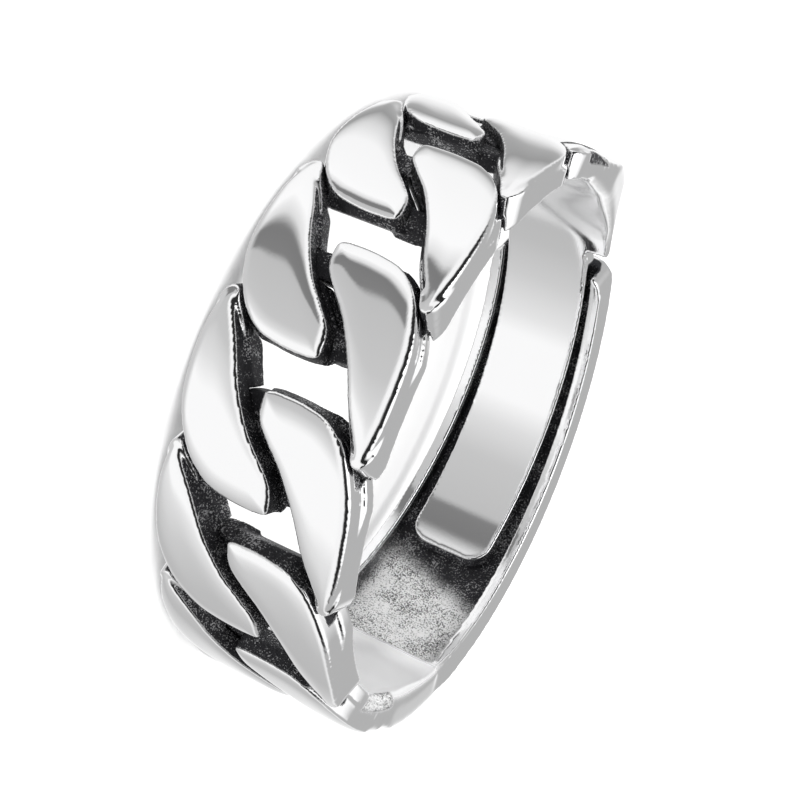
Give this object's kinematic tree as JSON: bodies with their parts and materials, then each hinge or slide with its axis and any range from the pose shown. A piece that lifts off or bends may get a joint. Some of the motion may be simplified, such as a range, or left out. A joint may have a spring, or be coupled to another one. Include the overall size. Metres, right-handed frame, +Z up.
{
  "type": "chain link ring",
  "caption": "Open finger ring with a curb chain front, cut through between the links, and smooth shank ends, a tongue sliding inside a shallow channel.",
  "frame": {"origin": "on the axis of the finger hole, in the plane that the ring lies on", "axes": "+Z up along the finger hole, +X towards the middle of the chain, +Y towards the shoulder of the channel"},
  "size_m": [0.0207, 0.0205, 0.0063],
  "materials": {
    "link_silver": "polished silver with dark oxidised recesses",
    "shank_silver": "polished silver, matt in the channel"
  },
  "bodies": {
    "root": {"link_1": "link_silver", "link_2": "link_silver", "link_3": "link_silver", "link_4": "link_silver", "link_5": "link_silver", "tongue_shank": "shank_silver", "channel_shank": "shank_silver"}
  },
  "joints": []
}
